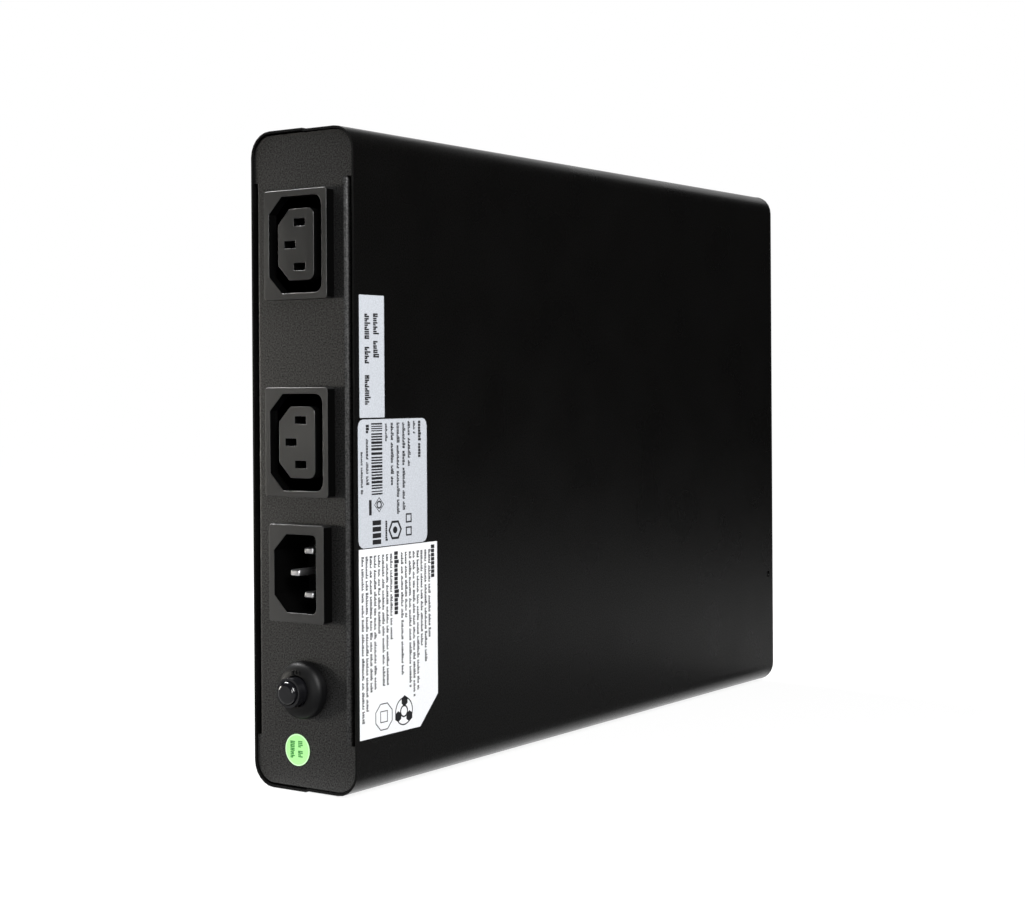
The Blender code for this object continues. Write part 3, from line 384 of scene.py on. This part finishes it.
class Printing:
    """Thin raised shapes on the flat face of a node.

    u runs across the face from the edge on the left of someone looking at it, and v runs down from its top.
    """

    def __init__(self, node, right, outward, seed=BASE_SEED, depth=INK_DEPTH, sink=INK_SINK):
        low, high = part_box(node)
        right, outward = Vector(right), Vector(outward)
        centre, half = (low + high) / 2, (high - low) / 2
        self.node = node
        self.depth = depth
        self.sink = sink
        self.width = 2 * abs(half.dot(right))
        self.height = 2 * half.z
        corner = centre - right * self.width / 2 + outward * abs(half.dot(outward)) + Vector((0, 0, half.z))
        rows = list(zip(right, Vector((0, 0, -1)), outward, corner))
        self.place = Matrix(rows + [(0, 0, 0, 1)])
        self.shape = bmesh.new()
        self.random = random.Random(seed)

    def bar(self, u, v, width, height):
        """A filled rectangle whose middle is at u and v."""
        size = Matrix.Diagonal((width, height, self.depth + self.sink, 1.0))
        middle = Matrix.Translation((u, v, (self.depth - self.sink) / 2))
        bmesh.ops.create_cube(self.shape, size=1.0, matrix=self.place @ middle @ size)

    def mark(self, u, v, cap, pitch, bold):
        """One abstract sign of a line of print: a block or a pair of strokes."""
        reach = cap * self.random.choice((0.75, 0.75, 0.8, 1.0))
        base = u - cap / 2
        if bold:
            self.bar(base + reach / 2, v, reach, pitch * BOLD_STROKE)
            return
        first, second = self.random.choice(((1.0, 0.6), (0.6, 1.0), (1.0, 1.0), (0.8, 0.8)))
        shift, thick = pitch * STROKE_SHIFT, pitch * STROKE
        self.bar(base + reach * first / 2, v - shift, reach * first, thick)
        self.bar(base + reach * second / 2, v + shift, reach * second, thick)
        if self.random.random() < LINK_CHANCE:
            across = base + reach * self.random.choice((0.15, 0.5))
            self.bar(across, v, reach * LINK_WIDTH, pitch * LINK_STROKE)

    def line(self, u, start, end, cap, pitch=None, bold=False, word=(3, 9)):
        """A line of print that reads downward; u, start and end are shares of the face."""
        pitch = pitch or cap * LINE_PITCH
        v = start * self.height
        stop = end * self.height - pitch
        while v < stop:
            for _ in range(self.random.randint(*word)):
                if v > stop:
                    break
                self.mark(u * self.width, v + pitch / 2, cap, pitch, bold)
                v += pitch
            v += pitch * WORD_GAP

    def stripes(self, u, start, end, reach):
        """Bars of many widths side by side; all four values are shares of the face."""
        v = start * self.height
        while v < end * self.height:
            thick = self.random.choice((0.35, 0.5, 0.5, 0.8)) * MM
            self.bar(u * self.width, v + thick / 2, reach * self.width, thick)
            v += thick + self.random.choice((0.35, 0.4, 0.6)) * MM

    def ring(self, u, v, outer, inner, sides, turn=0.0):
        """The outline of a round or many-sided sign; u and v are shares of the face."""
        middle = Vector((u * self.width, v * self.height, 0))
        loops = []
        top, foot = self.depth, -self.sink
        for radius, level in ((outer, top), (inner, top), (inner, foot), (outer, foot)):
            loop = []
            for i in range(sides):
                angle = turn + 2 * math.pi * i / sides
                point = middle + Vector((radius * math.cos(angle), radius * math.sin(angle), level))
                loop.append(self.shape.verts.new(self.place @ point))
            loops.append(loop)
        for first, second in zip(loops, loops[1:] + loops[:1]):
            for i in range(sides):
                j = (i + 1) % sides
                self.shape.faces.new((first[i], first[j], second[j], second[i]))

    def disc(self, u, v, radius, sides):
        """A filled round or many-sided sign; u and v are shares of the face."""
        middle = Matrix.Translation((u * self.width, v * self.height, (self.depth - self.sink) / 2))
        bmesh.ops.create_cone(
            self.shape, cap_ends=True, segments=sides, radius1=radius, radius2=radius,
            depth=self.depth + self.sink, matrix=self.place @ middle,
        )

    def finish(self, name, material):
        bmesh.ops.recalc_face_normals(self.shape, faces=self.shape.faces)
        mesh = bpy.data.meshes.new(name)
        self.shape.to_mesh(mesh)
        self.shape.free()
        return show(name, mesh, material, BODY_OF[self.node])


def print_battery_label(finishes):
    """A heading and one longer line, both in large print."""
    label = Printing("label_battery", (0, -1, 0), (-1, 0, 0))
    cap, pitch = 2.8 * MM, 1.35 * MM
    label.line(0.67, 0.145, 0.33, cap, pitch, word=(7, 7))
    label.line(0.67, 0.37, 0.545, cap, pitch, word=(4, 4))
    for start, end in ((0.15, 0.37), (0.42, 0.59), (0.65, 0.91)):
        label.line(0.32, start, end, cap, pitch, word=(8, 8))
    label.finish("battery_print", finishes["ink"])


def print_rating_label(finishes):
    """Lines of small print, a bar pattern and plain signs; a line is u, start, end, height and weight."""
    label = Printing("label_rating", (0, -1, 0), (-1, 0, 0), BASE_SEED + 1)
    small, bold = 1.15 * MM, 1.5 * MM
    lines = [
        (0.05, 0.25, 0.585, small, False),
        (0.13, 0.04, 0.125, bold, True),
        (0.13, 0.15, 0.52, bold, False),
        (0.40, 0.035, 0.19, small, False),
        (0.485, 0.03, 0.535, bold, False),
        (0.57, 0.03, 0.775, bold, False),
        (0.655, 0.03, 0.73, bold, False),
        (0.735, 0.02, 0.39, bold, False),
        (0.81, 0.02, 0.14, small, False),
        (0.89, 0.02, 0.32, bold, True),
    ]
    for u, start, end, cap, heavy in lines:
        label.line(u, start, end, cap, bold=heavy)
    label.stripes(0.262, 0.03, 0.585, 0.155)
    label.bar(0.165 * label.width, 0.688 * label.height, 1.25 * MM, 4.8 * MM)
    label.ring(0.29, 0.67, 2.4 * MM, 2.05 * MM, 4)
    label.ring(0.29, 0.67, 1.3 * MM, 0.8 * MM, 20)
    for i in range(4):
        label.bar(0.255 * label.width, (0.81 + 0.05 * i) * label.height, 4.2 * MM, 1.5 * MM)
    label.line(0.395, 0.80, 0.96, small, bold=True)
    label.ring(0.52, 0.88, 3.4 * MM, 2.6 * MM, 6)
    label.disc(0.52, 0.88, 1.1 * MM, 20)
    for v in (0.795, 0.9):
        label.ring(0.72, v, 2.1 * MM, 1.4 * MM, 4, math.pi / 4)
    label.finish("rating_print", finishes["ink"])


def print_caution_label(finishes):
    """Two blocks of fine print, each under a heavy heading, over two plain signs."""
    label = Printing("label_caution", (0, -1, 0), (-1, 0, 0), BASE_SEED + 2)
    heading, heading_pitch, fine = 2.3 * MM, 1.35 * MM, 1.25 * MM
    label.line(0.945, 0.015, 0.215, heading, heading_pitch, bold=True, word=(8, 8))
    label.line(0.465, 0.028, 0.385, heading, heading_pitch, bold=True, word=(15, 15))
    blocks = [
        (0.895, (0.53, 0.66, 0.57, 0.81, 0.84, 0.78, 0.40, 0.70)),
        (0.400, (0.50, 0.75, 0.76, 0.47, 0.76, 0.77, 0.86, 0.92)),
    ]
    start, line_gap = 0.038, 0.051
    for first, ends in blocks:
        for i, end in enumerate(ends):
            label.line(first - line_gap * i, start, end, fine)
    label.ring(0.295, 0.9, 4.6 * MM, 4.25 * MM, 8, math.pi / 8)
    label.ring(0.295, 0.9, 2.6 * MM, 2.2 * MM, 4, math.pi / 4)
    add_lobed_sign(label, 0.55, 0.895)
    label.finish("caution_print", finishes["ink"])


def add_lobed_sign(label, u, v):
    """Two rings, one inside the other, with three six-sided lobes between them."""
    label.ring(u, v, 4.5 * MM, 4.1 * MM, 32)
    label.ring(u, v, 2.0 * MM, 1.5 * MM, 24)
    reach, lobe = 3.3 * MM, 1.75 * MM
    for i in range(3):
        angle = math.radians(35 + 120 * i)
        across = u + reach * math.cos(angle) / label.width
        down = v + reach * math.sin(angle) / label.height
        label.disc(across, down, lobe, 6)


def print_sticker(finishes):
    """A pale rim and two short columns of print."""
    rim = Printing("inspection_sticker", (-1, 0, 0), (0, 1, 0))
    radius, margin, thick = rim.width / 2, 0.1 * MM, 0.3 * MM
    rim.ring(0.5, 0.5, radius - margin, radius - margin - thick, 40)
    rim.finish("sticker_rim", finishes["white_rim"])
    words = Printing("inspection_sticker", (-1, 0, 0), (0, 1, 0), BASE_SEED + 3)
    cap, pitch = 2.4 * MM, 1.12 * MM
    words.line(0.65, 0.2, 0.76, cap, pitch, word=(2, 3))
    words.line(0.33, 0.22, 0.84, cap, pitch, word=(6, 6))
    words.finish("sticker_print", finishes["green_ink"])


def raise_nut_marks(finishes):
    """Three small pips moulded on the nut's face."""
    marks = Printing("breaker_nut", (-1, 0, 0), (0, 1, 0), depth=0.1 * MM, sink=0.5 * MM)
    spacing, drop, bow = 1.3 * MM, 3.0 * MM, 0.25 * MM
    width, height = 0.7 * MM, 1.2 * MM
    for i in (-1, 0, 1):
        marks.bar(marks.width / 2 + spacing * i, drop + bow * abs(i), width, height)
    marks.finish("nut_marks", finishes["nut_moulding"])


def paint_shade_on_cover_rims(pieces, finishes):
    """Painted shade: the rim of the sheet at the rear end of the covers is near black and shines less than
    the painted faces, as if it lay in the shade of the gap beside the panel.
    """
    rim = COVER_ROUNDING + 0.01 * MM
    for piece in pieces:
        piece.data.materials.append(finishes["cover_rim_painted_shade"])
        end = max(vertex.co.y for vertex in piece.data.vertices)
        for polygon in piece.data.polygons:
            if polygon.center.y > end - rim:
                polygon.material_index = 1


def paint_shade_in_sockets(pieces, finishes):
    """Painted shade: the flanks of the sockets and the walls and floors inside them take a near-black matt
    finish, unlike the front faces.
    """
    margin, shallow, deep = 1.0 * MM, 0.6 * MM, 6.0 * MM
    steep, sideways = 0.5, 0.8
    for piece in pieces:
        piece.data.materials.append(finishes["socket_painted_shade"])
        places = [vertex.co for vertex in piece.data.vertices]
        low = Vector([min(place[i] for place in places) for i in range(3)])
        high = Vector([max(place[i] for place in places) for i in range(3)])
        for polygon in piece.data.polygons:
            spot = polygon.center
            inside = all(low[i] + margin < spot[i] < high[i] - margin for i in (0, 2))
            wall = spot.y < high.y - shallow and abs(polygon.normal.y) < steep
            flank = abs(polygon.normal.x) > sideways
            if flank or inside and (wall or spot.y < high.y - deep):
                polygon.material_index = 1


def gloss_bushing(piece, finishes):
    """The bushing in front of the panel is glossier than the breaker's body behind it."""
    piece.data.materials.append(finishes["glossy_moulding"])
    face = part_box("rear_panel")[1].y
    for polygon in piece.data.polygons:
        if polygon.center.y > face:
            polygon.material_index = 1


# ---------------------------------------------------------------- stage

def add_floor():
    shape = bmesh.new()
    bmesh.ops.create_grid(shape, x_segments=8, y_segments=8, size=FLOOR_SIZE / 2)
    mesh = bpy.data.meshes.new("floor")
    shape.to_mesh(mesh)
    shape.free()
    floor = bpy.data.objects.new("floor", mesh)
    floor.location.z = -FLOOR_GAP
    bpy.context.scene.collection.objects.link(floor)
    mesh.materials.append(floor_finish())


def foot_glow(tree):
    """Light from the floor right under the object, which shows only in the object's lower edges."""
    sizes = add_node(tree, "ShaderNodeVectorMath", operation="ABSOLUTE")
    tree.links.new(object_space(tree), sizes.inputs[0])
    split = add_node(tree, "ShaderNodeSeparateXYZ")
    tree.links.new(sizes.outputs["Vector"], split.inputs["Vector"])
    reach = CAD_BOX[1]
    fade = FOOT_FADE / 2
    across = spread(tree, split.outputs["X"], FOOT_GLOW, 0.0, reach[0] - fade, reach[0] + fade)
    along = spread(tree, split.outputs["Y"], 1.0, 0.0, reach[1] - fade, reach[1] + fade)
    both = add_node(tree, "ShaderNodeMath", operation="MULTIPLY")
    tree.links.new(across, both.inputs[0])
    tree.links.new(along, both.inputs[1])
    return both.outputs["Value"]


def floor_finish():
    """Pale matt floor that glows for the camera, so that it meets the backdrop with no line.

    It gets darker away from the object, so that the object's big faces reflect only the floor near it.
    """
    mat = bpy.data.materials.new("studio_floor")
    mat.use_nodes = True
    tree = mat.node_tree
    shader = tree.nodes["Principled BSDF"]
    shader.inputs["Roughness"].default_value = 0.9
    shader.inputs["Specular IOR Level"].default_value = 0.0
    shader.inputs["Emission Color"].default_value = (1, 1, 1, 1)
    distance = add_node(tree, "ShaderNodeVectorMath", operation="LENGTH")
    tree.links.new(object_space(tree), distance.inputs[0])
    away = distance.outputs["Value"]
    glow = spread(tree, away, FLOOR_GLOW, 1.0, FLOOR_NEAR, FLOOR_FAR)
    near, far = ((shade,) * 3 for shade in FLOOR_SHADES)
    shades = blend_colours(tree, spread(tree, away, 0.0, 1.0, FLOOR_NEAR, FLOOR_FAR), near, far)
    tree.links.new(shades, shader.inputs["Base Color"])
    rays = add_node(tree, "ShaderNodeLightPath")
    strength = add_node(tree, "ShaderNodeMix", data_type="FLOAT")
    tree.links.new(rays.outputs["Is Camera Ray"], strength.inputs["Factor"])
    tree.links.new(foot_glow(tree), strength.inputs["A"])
    tree.links.new(glow, strength.inputs["B"])
    tree.links.new(strength.outputs["Result"], shader.inputs["Emission Strength"])
    return mat


def add_world():
    """White where the camera looks past the object, dimmer for what the object reflects."""
    world = bpy.data.worlds.new("studio")
    world.use_nodes = True
    tree = world.node_tree
    background = tree.nodes["Background"]
    background.inputs["Color"].default_value = (1, 1, 1, 1)
    rays = add_node(tree, "ShaderNodeLightPath")
    strength = spread(tree, rays.outputs["Is Camera Ray"], ROOM_LIGHT, 1.0, 0.0, 1.0)
    tree.links.new(strength, background.inputs["Strength"])
    bpy.context.scene.world = world


def add_softbox(name, place, target, size, power, colour):
    light = bpy.data.lights.new(name, "AREA")
    light.color = colour
    light.shape = "RECTANGLE"
    light.size, light.size_y = size
    light.energy = power
    lamp = bpy.data.objects.new(name, light)
    lamp.location = place
    lamp.rotation_euler = (Vector(target) - Vector(place)).to_track_quat("-Z", "Y").to_euler()
    bpy.context.scene.collection.objects.link(lamp)


def add_lights():
    centre = (CAD_BOX[0] + CAD_BOX[1]) / 2
    for name, place, size, power, colour in SOFTBOXES:
        add_softbox(name, place, centre, size, power, colour)


def add_camera():
    """The viewpoint, given by its place, its bearing round the object, its height angle and its roll."""
    azimuth, elevation = CAMERA_AZIMUTH, CAMERA_ELEVATION
    level = Vector((math.sin(azimuth), -math.cos(azimuth), 0))
    back = level * math.cos(elevation) + Vector((0, 0, math.sin(elevation)))
    right = Vector((0, 0, 1)).cross(back).normalized()
    turn = Matrix.Rotation(CAMERA_ROLL, 3, back)
    columns = (turn @ right, turn @ back.cross(right), back, CAMERA_PLACE)
    camera = bpy.data.objects.new("camera", bpy.data.cameras.new("camera"))
    camera.data.lens = CAMERA_LENS
    camera.data.shift_y = CAMERA_SHIFT
    camera.data.clip_start = 0.01
    camera.data.clip_end = 2 * FLOOR_SIZE
    camera.matrix_world = Matrix([tuple(row) for row in zip(*columns)] + [(0, 0, 0, 1)])
    bpy.context.scene.collection.objects.link(camera)
    bpy.context.scene.camera = camera


def build():
    finishes = make_finishes()
    shown = finish_shown_nodes(finishes)
    finish_hidden_nodes(finishes, shown)
    gloss_bushing(shown["breaker_body"], finishes)
    paint_shade_on_cover_rims((shown["left_cover"], shown["right_cover"]), finishes)
    paint_shade_in_sockets((shown["outlet_upper"], shown["outlet_lower"], shown["inlet"]), finishes)
    print_battery_label(finishes)
    print_rating_label(finishes)
    print_caution_label(finishes)
    print_sticker(finishes)
    raise_nut_marks(finishes)
    add_floor()
    add_world()
    add_lights()
    add_camera()
    bpy.context.scene.view_settings.view_transform = "Standard"


build()
